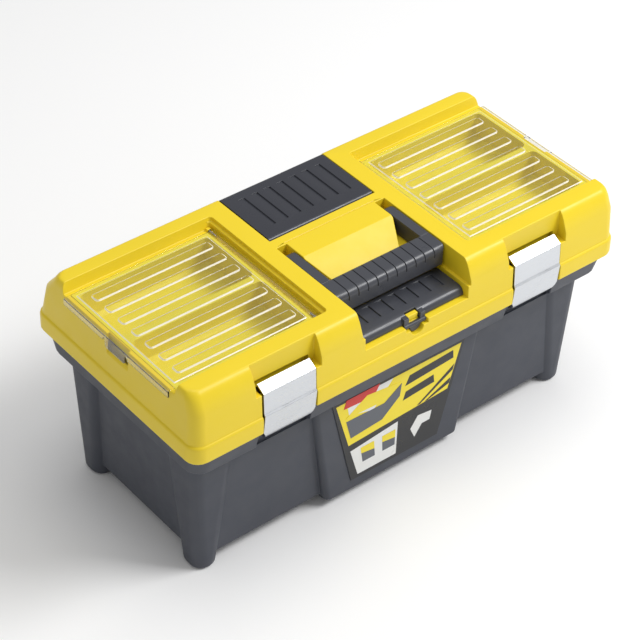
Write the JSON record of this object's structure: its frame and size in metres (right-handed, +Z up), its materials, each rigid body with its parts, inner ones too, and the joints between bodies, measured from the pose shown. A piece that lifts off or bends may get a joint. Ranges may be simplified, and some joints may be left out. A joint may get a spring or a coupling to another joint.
{
  "type": "toolbox with tray",
  "caption": "Tapered plastic toolbox with lift-out tray, clear organizer lids, covered compartments, folding handle and metal latches.",
  "frame": {"origin": "on the floor, below the middle of the closed box", "axes": "+X along the length, -Y is the front with the latches, +Z up"},
  "size_m": [0.525, 0.256, 0.247],
  "materials": {
    "tub_plastic": "satin anthracite polypropylene with a fine grain",
    "lid_plastic": "satin yellow polypropylene with a fine grain",
    "dark_plastic": "satin anthracite polypropylene",
    "tray_plastic": "black polypropylene",
    "latch_plastic": "black nylon",
    "divider_plastic": "grey polypropylene",
    "clear_plastic": "clear polycarbonate",
    "aluminium": "satin anodised extrusion",
    "steel": "drawn rod",
    "label": null
  },
  "bodies": {
    "tub": {"body_tub": "tub_plastic", "label": "label", "hinge_pin_left": "steel", "hinge_pin_right": "steel"},
    "tray": {"tray": "tray_plastic", "tray_divider_left": "divider_plastic", "tray_divider_right": "divider_plastic"},
    "lid": {"lid_shell": "lid_plastic", "back_cover_pin": "steel", "front_cover_pin": "steel", "organizer_bin_left": "lid_plastic", "organizer_pin_left_front": "steel", "organizer_pin_left_back": "steel", "handle_pin_left": "steel", "latch_bracket_left": "latch_plastic", "latch_pin_left": "steel", "organizer_bin_right": "lid_plastic", "organizer_pin_right_front": "steel", "organizer_pin_right_back": "steel", "handle_pin_right": "steel", "latch_bracket_right": "latch_plastic", "latch_pin_right": "steel"},
    "back_cover": {"back_cover": "dark_plastic"},
    "front_cover": {"front_cover": "dark_plastic"},
    "handle": {"handle": "dark_plastic"},
    "organizer_lid_left": {"organizer_lid_left": "clear_plastic"},
    "organizer_lid_right": {"organizer_lid_right": "clear_plastic"},
    "latch_left": {"latch_plate_left": "aluminium", "latch_carrier_left": "latch_plastic"},
    "latch_right": {"latch_plate_right": "aluminium", "latch_carrier_right": "latch_plastic"}
  },
  "joints": [
    {"name": "lid_hinge", "type": "hinge", "parent": "tub", "child": "lid", "pos_m": [0, 0.122, 0.165], "axis": [-1, 0, 0], "range_deg": [0, 95]},
    {"name": "tray_lift", "type": "slide", "parent": "tub", "child": "tray", "axis": [0, 0, 1], "range_m": [0, 0.06]},
    {"name": "handle_pivot", "type": "hinge", "parent": "lid", "child": "handle", "pos_m": [0, -0.011, 0.237], "axis": [-1, 0, 0], "range_deg": [0, 90]},
    {"name": "back_cover_hinge", "type": "hinge", "parent": "lid", "child": "back_cover", "pos_m": [0, 0.024, 0.2415], "axis": [1, 0, 0], "range_deg": [0, 90]},
    {"name": "front_cover_hinge", "type": "hinge", "parent": "lid", "child": "front_cover", "pos_m": [0, -0.079, 0.2124], "axis": [-1, 0, 0], "range_deg": [0, 42]},
    {"name": "organizer_hinge_left", "type": "hinge", "parent": "lid", "child": "organizer_lid_left", "pos_m": [-0.093, 0, 0.2366], "axis": [0, 1, 0], "range_deg": [0, 100]},
    {"name": "organizer_hinge_right", "type": "hinge", "parent": "lid", "child": "organizer_lid_right", "pos_m": [0.093, 0, 0.2366], "axis": [0, -1, 0], "range_deg": [0, 100]},
    {"name": "latch_hinge_left", "type": "hinge", "parent": "lid", "child": "latch_left", "pos_m": [-0.153, -0.115, 0.217], "axis": [-1, 0, 0], "range_deg": [0, 90]},
    {"name": "latch_hinge_right", "type": "hinge", "parent": "lid", "child": "latch_right", "pos_m": [0.153, -0.115, 0.217], "axis": [-1, 0, 0], "range_deg": [0, 90]}
  ],
  "couplings": [
    {"joint": "tray_lift", "follows": "lid_hinge", "m_per_rad": 0.036}
  ]
}
